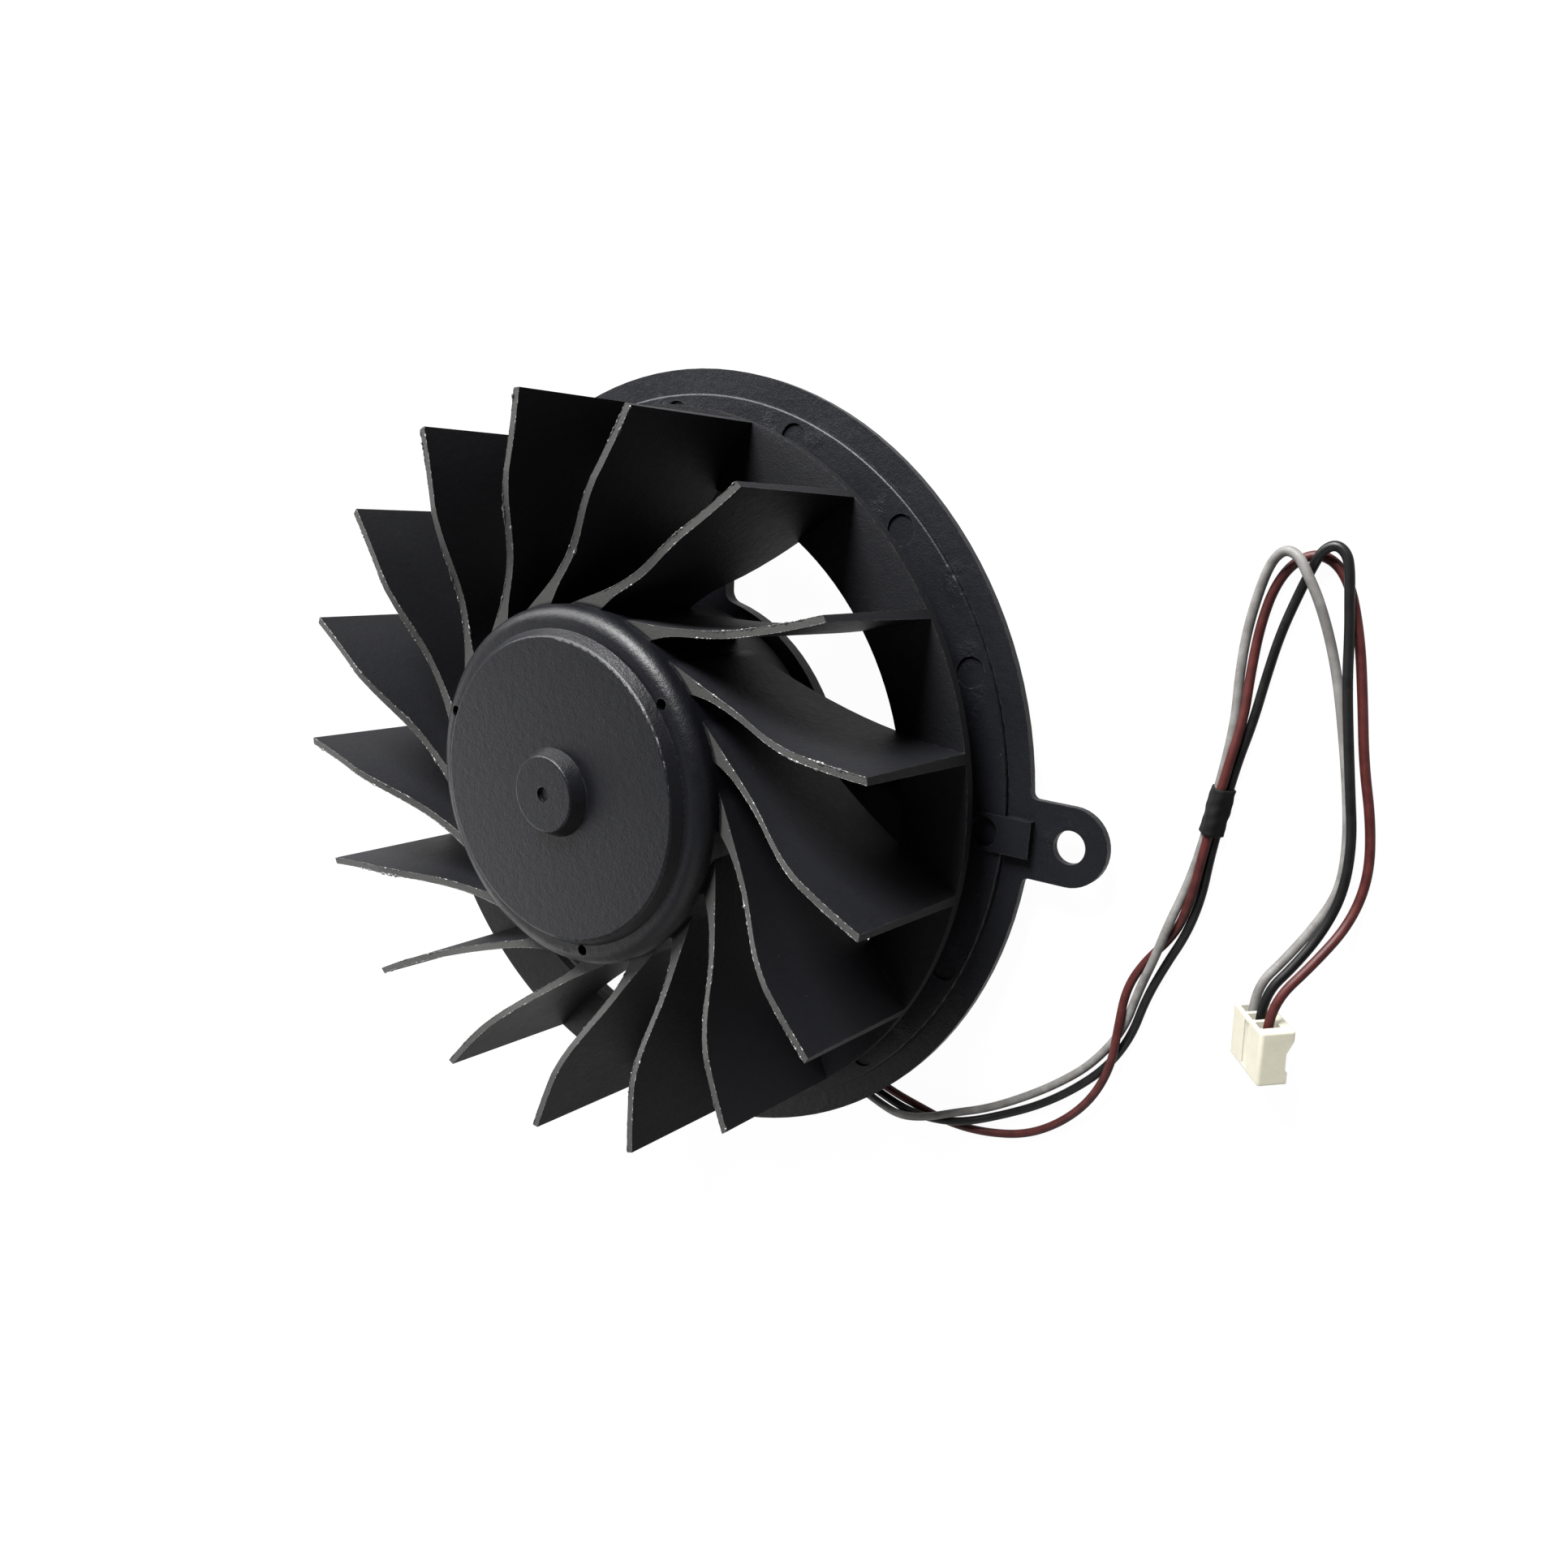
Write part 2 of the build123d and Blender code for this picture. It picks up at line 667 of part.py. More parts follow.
def plug_frame():
    """Where the plug lies: its free end a little lower, and turned about its length by its tilt."""
    heading = radians(plug_heading)
    tilt = radians(plug_tilt)
    pitch = radians(plug_pitch_down)
    along = Vector(cos(heading) * cos(pitch), sin(heading) * cos(pitch), -sin(pitch))
    side = Vector(-sin(heading), cos(heading), 0)
    row = side * cos(tilt) + along.cross(side) * sin(tilt)
    return Plane(origin=plug_place, x_dir=row, z_dir=along)


def cavity_places():
    """Places of the ways across the plug."""
    return [(k - (plug_ways - 1) / 2) * plug_pitch for k in range(plug_ways)]


def connector_housing():
    """Three-way crimp housing with its lip, end step and groove."""
    low = -plug_t / 2
    side = [(0, plug_t / 2), (plug_len, plug_t / 2), (plug_len, low - plug_step),
            (plug_len - plug_step_len, low - plug_step), (plug_len - plug_step_len - plug_step, low),
            (plug_lip_len + plug_lip_run, low), (plug_lip_len, low - plug_lip), (0, low - plug_lip)]
    face = make_face(Polyline(*[(y, z) for z, y in side], close=True))
    body = Pos(-plug_w / 2, 0, 0) * extrude(Plane.YZ * face, plug_w)
    body = fillet(body.edges().filter_by(Axis.Z).group_by(Axis.Y)[-1], plug_round)
    body -= Pos(0, plug_t / 2, plug_len / 2) * Box(groove_w, 2 * groove_sink, plug_len - 1)
    for x in cavity_places():
        body -= Pos(x, 0, plug_len / 2) * Box(cavity_w, cavity_t, plug_len + 2)
        body -= Pos(x, 0, 0) * Box(cavity_w + 2 * pocket_gap, cavity_t + 4 * pocket_gap, 2 * pocket_depth)
    return plug_frame() * body


def connector_contacts():
    """A crimped contact in each cavity: a barrel behind a square box."""
    size = cavity_w - 2 * contact_gap
    box_len = 0.75 * contact_len
    parts = []
    for x in cavity_places():
        contact = disc(size / 2, 0, contact_len - box_len / 2)
        contact += block((size, size + contact_lip, box_len), contact_len - box_len)
        contact -= Pos(0, 0, contact_len) * Box(contact_pin, contact_pin, box_len)
        parts.append(plug_frame() * Pos(x, 0, contact_start) * contact)
    return Compound(parts)


def build():
    """Every part under its node's name."""
    coils_low = stack_low - insulator_t - seat
    return {
        "base_frame": base_frame(),
        "bearing_tube": bearing_tube(),
        "lower_outer_race": outer_race(lower_bearing_low),
        "upper_outer_race": outer_race(upper_bearing_low),
        "lower_bearing_balls": bearing_balls(lower_bearing_low),
        "upper_bearing_balls": bearing_balls(upper_bearing_low),
        "lower_bearing_cage": bearing_cage(lower_bearing_low),
        "upper_bearing_cage": bearing_cage(upper_bearing_low),
        "lower_inner_race": inner_race(lower_bearing_low),
        "upper_inner_race": inner_race(upper_bearing_low),
        "stator_core": stator_core(),
        "lower_insulator": insulator(coils_low),
        "upper_insulator": insulator(stack_top + seat),
        "stator_coils": stator_coils(),
        "winding_pins": winding_pins(),
        "circuit_board": circuit_board(),
        "hall_sensors": on_board(sensor_size, sensor_angles, sensor_circle_r),
        "driver_chip": on_board(chip_size, [chip_angle], chip_reach),
        "board_capacitors": on_board(capacitor_size, capacitor_angles, capacitor_reach),
        "impeller": impeller(),
        "rotor_yoke": rotor_yoke(),
        "rotor_magnet": rotor_magnet(),
        "hub_bush": hub_bush(),
        "shaft": shaft(),
        "retaining_clip": retaining_clip(),
        "thrust_washer": thrust_washer(),
        "preload_spring": preload_spring(),
        "lead_joints": lead_joints(),
        "red_brown_tail": lead_tail(red_brown_route, 1, "red-brown tail"),
        "black_tail": lead_tail(black_route, 0, "black tail"),
        "grey_tail": lead_tail(grey_route, -1, "grey tail"),
        "red_brown_lead": cord(red_brown_route, lead_r, "red-brown lead"),
        "black_lead": cord(black_route, lead_r, "black lead"),
        "grey_lead": cord(grey_route, lead_r, "grey lead"),
        "lead_sleeve": lead_sleeve(),
        "connector_housing": connector_housing(),
        "connector_contacts": connector_contacts(),
    }


os.makedirs("parts", exist_ok=True)
for node, shape in build().items():
    export_step(shape, "parts/%s.step" % node)
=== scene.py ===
# %% [markdown]
# # A blower fan, piece by piece
#
# The solids of this fan come from its CAD model, already in place and to size. Blender adds what
# CAD leaves out: leads that lie as soft wire does, a shrunk sleeve, the ragged flash along the
# blades, and finishes with the grain and wear of moulded plastic. Everything is in metres, with
# +Z along the motor's axis and z = 0 at the table.

# %% Load the frame
import math

import bmesh
import bpy
import numpy as np
from mathutils import Matrix, Vector


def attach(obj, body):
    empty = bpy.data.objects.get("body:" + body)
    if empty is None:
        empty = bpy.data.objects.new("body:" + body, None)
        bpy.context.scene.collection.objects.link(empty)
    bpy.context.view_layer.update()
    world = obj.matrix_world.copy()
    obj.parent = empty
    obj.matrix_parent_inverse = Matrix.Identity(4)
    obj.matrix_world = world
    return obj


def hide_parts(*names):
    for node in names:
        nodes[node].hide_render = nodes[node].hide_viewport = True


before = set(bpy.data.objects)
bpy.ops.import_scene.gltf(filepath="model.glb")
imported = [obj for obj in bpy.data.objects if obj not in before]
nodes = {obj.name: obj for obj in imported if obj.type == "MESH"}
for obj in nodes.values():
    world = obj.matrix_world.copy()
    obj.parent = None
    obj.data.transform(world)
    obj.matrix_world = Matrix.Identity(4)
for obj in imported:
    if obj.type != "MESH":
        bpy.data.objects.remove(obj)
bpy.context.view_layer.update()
mm = 0.001
print("CAD nodes:", len(nodes))

# %% [markdown]
# ## Where the camera stands
#
# A photograph fixes its camera: the ellipses of the hub and flange give the tilt, and how much
# larger the near blades look gives the distance. The camera stands close, a little over twelve
# centimetres above the table, so the near blades loom. The picture's centre isn't the lens's
# centre, as in a photograph that was cropped, and the camera's shift says so.

# %% Camera
camera_place = Vector((103.17, 32.53, 124.27)) * mm
camera_right = Vector((0.86096, 0.08648, -0.50132))
camera_down = Vector((0.21698, -0.95362, 0.20813))
camera_ahead = Vector((-0.46008, -0.28796, -0.83985))
focal_pixels = 1516.9
lens_centre = (1157.28, 1102.78)
image_side = 1932
sensor_width = 36.0
nearest_seen = 0.005


def set_camera():
    """A camera whose axes are the photograph's: right, up and backwards are its X, Y and Z."""
    data = bpy.data.cameras.new("photo_camera")
    data.sensor_width = sensor_width
    data.lens = focal_pixels / image_side * sensor_width
    data.shift_x = (image_side / 2 - lens_centre[0]) / image_side
    data.shift_y = (lens_centre[1] - image_side / 2) / image_side
    data.clip_start = nearest_seen
    camera = bpy.data.objects.new("photo_camera", data)
    axes = Matrix((camera_right, -camera_down, -camera_ahead)).transposed()
    camera.matrix_world = Matrix.Translation(camera_place) @ axes.to_4x4()
    bpy.context.scene.collection.objects.link(camera)
    bpy.context.scene.camera = camera
    return camera


camera = set_camera()
print("lens %.1f mm" % camera.data.lens)

# %% [markdown]
# ## Shader maths as Python
#
# A finish is a formula over the surface: grain plus wear, times a mask. Wired by hand, a formula
# becomes a page of small nodes. A class that wraps a socket and overloads the operators lets the
# formula read as a formula.


# %% A socket that can be reckoned with
class Field:
    """A value that varies over a surface: the output socket of a node.

    The operators are for numbers. Colours are mixed with Finish.blend.
    """

    def __init__(self, finish, socket):
        self.finish = finish
        self.socket = socket

    def reckon(self, operation, *values):
        return self.finish.node("ShaderNodeMath", {"operation": operation}, dict(enumerate(values)))

    def __add__(self, other):
        return self.reckon("ADD", self, other)

    def __sub__(self, other):
        return self.reckon("SUBTRACT", self, other)

    def __rsub__(self, other):
        return self.reckon("SUBTRACT", other, self)

    def __mul__(self, other):
        return self.reckon("MULTIPLY", self, other)

    __radd__ = __add__
    __rmul__ = __mul__

    def at_most(self, other):
        return self.reckon("MINIMUM", self, other)

    def sine(self):
        return self.reckon("SINE", self)

    def root(self):
        return self.reckon("SQRT", self)

    def rise(self, low, high):
        """0 below low, 1 above high, and a smooth step between. With low above high it falls."""
        settings = {"interpolation_type": "SMOOTHSTEP"}
        values = {"Value": self, "From Min": low, "From Max": high}
        return self.finish.node("ShaderNodeMapRange", settings, values)


print("operators ready")

# %% [markdown]
# A second class holds a material while it is built. One of its methods makes every node that isn't
# plain arithmetic, and the others name what a finish needs: noise, specks, worn edges, a bump.


# %% A material under construction
class Finish:
    """A material, or the world's sky, while it is built. Its patterns are in millimetres."""

    def __init__(self, name, owner=None):
        self.material = owner or bpy.data.materials.new(name)
        self.material.use_nodes = True
        self.tree = self.material.node_tree
        self.shader = self.tree.nodes.get("Principled BSDF")

    def node(self, kind, settings, values, output=0):
        """Makes a node, then sets its settings, then fills its sockets with numbers or links."""
        made = self.tree.nodes.new(kind)
        for name, setting in settings.items():
            setattr(made, name, setting)
        for name, value in values.items():
            self.fill(made.inputs[name], value)
        return Field(self, made.outputs[output])

    def fill(self, socket, value):
        if isinstance(value, Field):
            self.tree.links.new(value.socket, socket)
        else:
            socket.default_value = value

    def place(self):
        """Position on the object in millimetres."""
        values = {0: self.node("ShaderNodeTexCoord", {}, {}, "Object"), 1: (1 / mm, 1 / mm, 1 / mm)}
        return self.node("ShaderNodeVectorMath", {"operation": "MULTIPLY"}, values)

    def parts(self, vector):
        """X, Y and Z of a vector."""
        split = self.node("ShaderNodeSeparateXYZ", {}, {0: vector})
        return [Field(self, socket) for socket in split.socket.node.outputs]

    def around(self):
        """Distance from the motor's axis and height, as a place: a pattern on it runs in rings."""
        x, y, z = self.parts(self.place())
        return self.node("ShaderNodeCombineXYZ", {}, {0: (x * x + y * y).root(), 1: z})

    def noise(self, size, detail=3.0, rough=0.5, place=None):
        """Cloudy noise from 0 to 1, with lumps of the given size in millimetres."""
        place = place or self.place()
        values = {"Vector": place, "Scale": 1 / size, "Detail": detail, "Roughness": rough}
        return self.node("ShaderNodeTexNoise", {}, values)

    def specks(self, size, radius):
        """Small scattered dots of the given radius, about one in each cell of the given size."""
        edge = radius / size
        values = {"Vector": self.place(), "Scale": 1 / size}
        return self.node("ShaderNodeTexVoronoi", {}, values).rise(edge, 0.3 * edge)

    def blend(self, share, first, second):
        """A colour that runs from first to second as share goes from 0 to 1.

        A Mix node has several sockets of each name. Its colours go in at 6 and 7 and come out at 2.
        """
        return self.node("ShaderNodeMix", {"data_type": "RGBA"}, {0: share, 6: first, 7: second}, 2)

    def facing(self):
        """The surface's own direction."""
        return self.node("ShaderNodeNewGeometry", {}, {}, "Normal")

    def edges(self, radius):
        """1 where the surface bends sharply within a radius in millimetres, and 0 on a flat.

        A Bevel node gives the direction that a rounded edge would face. The less it has in common
        with the surface's own direction, the sharper the edge, and six times that fills the mask.
        """
        bevel = self.node("ShaderNodeBevel", {"samples": 6}, {"Radius": radius * mm})
        ways = {0: bevel, 1: self.facing()}
        same = self.node("ShaderNodeVectorMath", {"operation": "DOT_PRODUCT"}, ways, "Value")
        return ((1 - same) * 6.0).at_most(1)

    def bump(self, height, depth):
        """Tilts the surface by a height field, where a height of 1 stands for depth millimetres."""
        values = {"Height": height, "Distance": depth * mm, "Strength": 1.0}
        self.fill(self.shader.inputs["Normal"], self.node("ShaderNodeBump", {}, values))

    def surface(self, **sockets):
        """Fills the shader's sockets by name, with underscores for spaces."""
        for name, value in sockets.items():
            self.fill(self.shader.inputs[name.replace("_", " ")], value)
        return self.material


print("material builder ready")


# %% Colours
def colour(red, green, blue):
    return (red, green, blue, 1.0)


def grey(tone):
    return colour(tone, tone, tone)


def lighter(tone, times):
    """The same colour, a number of times as light."""
    return colour(*(min(1.0, times * value) for value in tone[:3]))


print("a grey, and the same twice as light:", grey(0.2), lighter(grey(0.2), 2))

# %% [markdown]
# ## The leads
#
# Each lead is one soft wire from under the flange to the plug. A NURBS curve lies as wire does:
# it is pulled towards its points without having to touch them, so no point shows as a kink. The
# routes are the CAD model's own, written again here in millimetres, except that three points of the
# black lead lie up to 0.4 mm nearer its neighbours.

# %% Routes
lead_r = 0.5
red_brown_route = [
    (27.40, -35.10, 1.55), (31.60, -36.50, 1.55), (35.50, -37.95, 0.52), (39.75, -38.70, 0.52),
    (44.72, -38.36, 0.52), (50.12, -36.85, 0.52), (54.57, -33.69, 0.60), (58.28, -29.08, 1.50),
    (60.10, -24.18, 1.75), (60.25, -19.63, 1.65), (60.15, -15.30, 0.55), (61.80, -11.60, 0.52),
    (64.90, -7.60, 0.52), (66.30, -2.85, 1.50), (66.82, 1.88, 1.76), (67.98, 11.32, 1.76),
    (68.70, 16.20, 1.15), (68.50, 21.00, 0.52), (68.70, 25.60, 0.52), (69.50, 29.60, 0.52),
    (71.20, 32.20, 0.52), (73.80, 33.00, 0.52), (76.40, 31.00, 0.52), (78.40, 25.60, 0.52),
    (79.70, 19.80, 0.52), (80.90, 13.80, 0.52), (82.60, 8.20, 0.52), (83.40, 2.80, 0.52),
    (82.62, -1.93, 1.50), (80.48, -5.93, 4.10), (77.37, -10.56, 6.59), (77.54, -13.93, 6.22)]
black_route = [
    (26.90, -36.20, 1.55), (31.00, -37.60, 1.55), (34.65, -38.40, 1.64), (38.75, -38.25, 1.64),
    (42.64, -37.20, 1.50), (47.05, -35.10, 0.70), (51.38, -32.50, 0.52), (55.39, -29.25, 0.52),
    (59.13, -25.25, 0.52), (61.55, -20.67, 0.52), (62.60, -15.75, 0.52), (64.30, -11.25, 0.52),
    (66.05, -7.30, 0.52), (67.10, -2.90, 0.60), (67.37, 1.82, 0.80), (68.53, 11.25, 0.80),
    (69.50, 16.00, 0.52), (70.10, 20.60, 0.52), (70.80, 25.00, 0.52), (72.00, 29.00, 0.75),
    (73.00, 31.60, 1.20), (73.75, 33.20, 1.72), (74.95, 33.90, 1.75), (76.15, 33.10, 1.75),
    (76.65, 31.50, 1.75), (77.00, 29.40, 1.75), (77.60, 26.00, 1.70), (78.20, 21.40, 1.70),
    (79.20, 16.40, 1.70), (80.30, 11.20, 1.70), (81.40, 6.20, 1.70), (81.50, 1.20, 1.70),
    (80.40, -3.00, 2.20), (78.60, -6.68, 3.55), (76.13, -10.45, 5.03), (76.30, -13.82, 4.66)]
grey_route = [
    (26.40, -37.35, 1.55), (30.50, -38.95, 1.55), (34.20, -38.75, 2.70), (37.60, -37.80, 2.65),
    (40.85, -36.50, 1.65), (44.95, -34.90, 0.80), (49.40, -32.10, 0.52), (53.60, -28.90, 0.52),
    (57.37, -25.30, 0.52), (60.50, -20.30, 0.52), (61.65, -15.05, 0.60), (63.30, -10.40, 1.65),
    (64.20, -6.60, 1.60), (65.30, -2.40, 0.75), (66.27, 1.95, 0.80), (67.43, 11.38, 0.80),
    (67.70, 16.20, 0.52), (67.40, 20.80, 0.52), (67.50, 25.20, 0.60), (68.30, 29.60, 1.00),
    (69.20, 32.00, 1.60), (70.40, 33.05, 2.00), (71.75, 32.60, 2.30), (72.80, 31.20, 2.40),
    (74.40, 28.60, 2.10), (75.80, 25.00, 0.90), (77.10, 21.20, 0.52), (78.50, 16.20, 0.52),
    (79.80, 11.00, 0.52), (80.80, 5.80, 0.52), (80.90, 0.80, 0.52), (79.20, -3.20, 0.75),
    (77.15, -6.92, 1.90), (74.89, -10.34, 3.46), (75.06, -13.71, 3.10)]
routes = {"red_brown_lead": red_brown_route, "black_lead": black_route, "grey_lead": grey_route}
print("points on each route:", [len(route) for route in routes.values()])

# %% [markdown]
# Wire insulation is extruded PVC: nearly smooth, with a soft sheen, and a slow unevenness where it
# was handled. Two close tones in clouds, with a finer grain in the gloss, read as thin plastic over
# metal.


# %% Insulation
def insulation(name, dark, light, sheen):
    """Two close tones in clouds of 1.6 mm, a 0.12 mm grain in the gloss, and pale scuffs."""
    finish = Finish(name)
    clouds = finish.noise(1.6, 4.0)
    grain = finish.noise(0.12, 2.0)
    scuffs = finish.noise(0.7, 5.0, 0.7).rise(0.58, 0.72)
    finish.bump(grain * 0.4 + clouds * 0.6, 0.008)
    tone = finish.blend(clouds.rise(0.3, 0.7), dark, light)
    return finish.surface(
        Base_Color=finish.blend(scuffs * 0.3, tone, lighter(light, 1.6)),
        Roughness=sheen + grain * 0.12 + scuffs * 0.12,
        Specular_IOR_Level=0.12)


lead_finishes = {
    "red_brown": insulation(
        "red_brown_pvc", colour(0.016, 0.0028, 0.0025), colour(0.026, 0.0052, 0.0046), 0.42),
    "black": insulation(
        "black_pvc", colour(0.0012, 0.0012, 0.0013), colour(0.0030, 0.0028, 0.0028), 0.36),
    "grey": insulation(
        "grey_pvc", colour(0.050, 0.048, 0.046), colour(0.074, 0.072, 0.069), 0.46),
}
print("insulation in", len(lead_finishes), "colours")

# %% [markdown]
# A bevel makes each curve round. The curve passes near its points and not through them, so its
# length is measured on a copy that has no bevel and becomes a bare line.


# %% Lay the leads
def lead_curve(name, route):
    """A round NURBS curve that is drawn towards the route's points and reaches both ends."""
    data = bpy.data.curves.new(name, "CURVE")
    data.dimensions = "3D"
    data.bevel_depth = lead_r * mm
    data.bevel_resolution = 6
    data.use_fill_caps = True
    spline = data.splines.new("NURBS")
    spline.points.add(len(route) - 1)
    for point, place in zip(spline.points, route):
        point.co = (*(Vector(place) * mm), 1.0)
    spline.order_u = 3
    spline.use_endpoint_u = True
    spline.resolution_u = 8
    curve = bpy.data.objects.new(name, data)
    bpy.context.scene.collection.objects.link(curve)
    return curve


def centreline(curve):
    """The curve's own line as an array of points in metres."""
    data = curve.data.copy()
    data.bevel_depth = 0
    bare = bpy.data.objects.new("bare_line", data)
    mesh = bpy.data.meshes.new_from_object(bare)
    line = np.empty(len(mesh.vertices) * 3)
    mesh.vertices.foreach_get("co", line)
    bpy.data.objects.remove(bare)
    bpy.data.meshes.remove(mesh)
    bpy.data.curves.remove(data)
    return line.reshape(-1, 3)


leads = {}
for node, route in routes.items():
    curve = lead_curve("soft_" + node, route)
    curve.data.materials.append(lead_finishes[node.removesuffix("_lead")])
    line = centreline(curve)
    length = float(np.linalg.norm(np.diff(line, axis=0), axis=1).sum())
    leads[node] = (curve, line, length)
    print(node, "%.1f mm" % (length / mm), "lowest %.2f mm" % (line[:, 2].min() / mm))

# %% [markdown]
# ## Surfaces worked out as arrays
#
# The sleeve and the flash are tubes whose outline changes along a path. Both are a grid of points:
# one row for each place along the path, one column for each place round it. A few helpers turn such
# a grid into a mesh whose faces point outwards.


# %% Tubes from grids
same_point = 0.002


def grid_faces(rows, columns, start=0):
    """Four-cornered faces between neighbouring rows, with the last column joined to the first."""
    row, column = np.meshgrid(np.arange(rows - 1), np.arange(columns), indexing="ij")
    after = (column + 1) % columns
    here = start + row * columns
    there = here + columns
    corners = [here + column, here + after, there + after, there + column]
    return np.stack(corners, axis=-1).reshape(-1, 4)


def surface_piece(name, points, faces, material):
    """A smooth mesh object from an array of points in millimetres and a list of faces."""
    mesh = bpy.data.meshes.new(name)
    mesh.from_pydata(points.reshape(-1, 3) * mm, [], faces)
    mesh.update()
    mesh.materials.append(material)
    mesh.polygons.foreach_set("use_smooth", np.ones(len(mesh.polygons), dtype=bool))
    piece = bpy.data.objects.new(name, mesh)
    bpy.context.scene.collection.objects.link(piece)
    return piece


def outwards(piece):
    """Turns every face to the outside, after joining points that coincide."""
    work = bmesh.new()
    work.from_mesh(piece.data)
    bmesh.ops.remove_doubles(work, verts=work.verts, dist=same_point * mm)
    bmesh.ops.recalc_face_normals(work, faces=work.faces)
    work.to_mesh(piece.data)
    work.free()
    return piece


def unit(vectors):
    return vectors / np.linalg.norm(vectors, axis=-1, keepdims=True)


print("grid helpers ready")

# %% [markdown]
# ## The sleeve
#
# A short piece of shrunk tube holds the leads together. Shrinking pulls it tight, so its section is
# the skin of the three wires: straight from one wire to the next and round over each. The ray from
# the middle in direction a meets that skin at the least of h(t) / cos(t - a), where h(t) is how
# far the wires reach in direction t. Its wall is a little uneven, as heat leaves it. It lies
# between two points that every route has for it.

# %% Shrunk sleeve
sleeve_after = 14
sleeve_length = 4.9
sleeve_wall = 0.22
sleeve_gap = 0.05
sleeve_lip = 0.04
sleeve_rows = 22
sleeve_columns = 72
skin_turns = 361
least_facing = 0.05


def skin(middles, reach, angles):
    """Points of the skin round circles of radius reach, one for each angle, about (0, 0)."""
    turns = np.linspace(0, 2 * math.pi, skin_turns)
    ways = np.stack([np.cos(turns), np.sin(turns)])
    support = (middles @ ways).max(axis=0) + reach
    facing = np.cos(turns[None] - angles[:, None])
    rays = np.where(facing > least_facing, support / np.maximum(facing, least_facing), np.inf)
    radii = rays.min(axis=1)
    return np.stack([radii * np.cos(angles), radii * np.sin(angles)], axis=-1)


def shrunk_sleeve():
    """Rings of the outer skin, closed at both ends by a ring of the inner skin.

    The outer skin swells by a slow and a quick sine, 3 and 2 hundredths high, which run along the
    sleeve and round it. A lip halfway through the wall rounds each end.
    """
    ends = np.array([[route[sleeve_after], route[sleeve_after + 1]] for route in routes.values()])
    middle = ends.mean(axis=(0, 1))
    along = unit(np.diff(ends.mean(axis=0), axis=0)[0])
    side = unit(np.cross((0, 0, 1), along))
    up = np.cross(along, side)
    middles = (ends.mean(axis=1) - middle) @ np.stack([side, up], axis=-1)
    angles = np.linspace(0, 2 * math.pi, sleeve_columns, endpoint=False)
    steps = np.linspace(-1, 1, sleeve_rows)[:, None]
    ripple = 1 + 0.03 * np.sin(5 * steps + 2 * angles) + 0.02 * np.sin(11 * steps - 3 * angles)
    outer = skin(middles, lead_r + sleeve_gap + sleeve_wall, angles) * ripple[..., None]
    inner = skin(middles, lead_r + sleeve_gap, angles)
    lip = (outer[[0, -1]] + inner) / 2
    plan = np.concatenate([[inner, lip[0]], outer, [lip[1], inner]])
    lip_at = 1 + sleeve_lip
    reach = sleeve_length / 2 * np.concatenate([[-1, -lip_at], steps[:, 0], [lip_at, 1]])
    points = middle + plan[..., :1] * side + plan[..., 1:] * up + reach[:, None, None] * along
    faces = grid_faces(len(plan), sleeve_columns)
    bore = np.concatenate([faces[-sleeve_columns:, [3, 2]], faces[:sleeve_columns, [1, 0]]], axis=1)
    return points, np.concatenate([faces, bore]).tolist()


points, faces = shrunk_sleeve()
print("sleeve grid:", points.shape, "faces:", len(faces))

# %% [markdown]
# Shrunk tube is duller than the wires it holds, and dust clings to it.


# %% Dress the sleeve
def shrunk_tube():
    """Matt polyolefin: two close tones in a soft grain, and dust."""
    finish = Finish("shrunk_tube")
    grain = finish.noise(0.18, 3.0)
    dust = finish.specks(1.1, 0.06)
    finish.bump(grain, 0.02)
    tone = finish.blend(grain, colour(0.0016, 0.0016, 0.0017), colour(0.0036, 0.0036, 0.0037))
    return finish.surface(
        Base_Color=finish.blend(dust * 0.5, tone, colour(0.05, 0.05, 0.048)),
        Roughness=0.62 + grain * 0.15,
        Specular_IOR_Level=0.06)


sleeve = outwards(surface_piece("soft_sleeve", points, faces, shrunk_tube()))
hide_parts("lead_sleeve")
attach(sleeve, "frame")
print("sleeve faces", len(sleeve.data.polygons))

# %% [markdown]
# ## The plug
#
# The plug's housing is natural nylon, which is ivory, and a painted glow lightens it.


# %% Ivory nylon
def ivory_nylon():
    """Natural nylon: warm and faintly mottled.

    It gives off its own colour as a painted glow, and its edges are paler: worn, and a painted
    highlight.
    """
    finish = Finish("ivory_nylon")
    clouds = finish.noise(1.4, 4.0)
    grain = finish.noise(0.10, 2.0)
    grime = finish.noise(0.5, 5.0, 0.65).rise(0.56, 0.75)
    # Edges made paler: partly wear, partly a painted highlight.
    rubbed_and_highlight = finish.edges(0.3)
    finish.bump(grain, 0.01)
    tone = finish.blend(clouds, colour(0.135, 0.128, 0.100), colour(0.165, 0.158, 0.130))
    soiled = finish.blend(grime * 0.35, tone, colour(0.11, 0.095, 0.06))
    return finish.surface(
        Base_Color=finish.blend(rubbed_and_highlight * 0.5, soiled, colour(0.20, 0.195, 0.175)),
        Roughness=0.42 + grain * 0.15,
        Specular_IOR_Level=0.2,
        # Painted glow: the housing gives off its own colour, though it is no lamp.
        Emission_Color=soiled,
        Emission_Strength=1.4)


plug_plastic = ivory_nylon()
print("nylon nodes:", len(plug_plastic.node_tree.nodes))

# %% [markdown]
# The housing's shape is the CAD solid with its edges softened, as a small moulding's are. The
# copy's loose triangles are joined and its flats made one face each, so that only true edges get
# round: the outer ones more, and the rest a little, by a Bevel modifier.

# %% Plug housing
join_below = math.radians(1)
round_above = math.radians(30)
corner_above = math.radians(40)
flush_within = 0.03


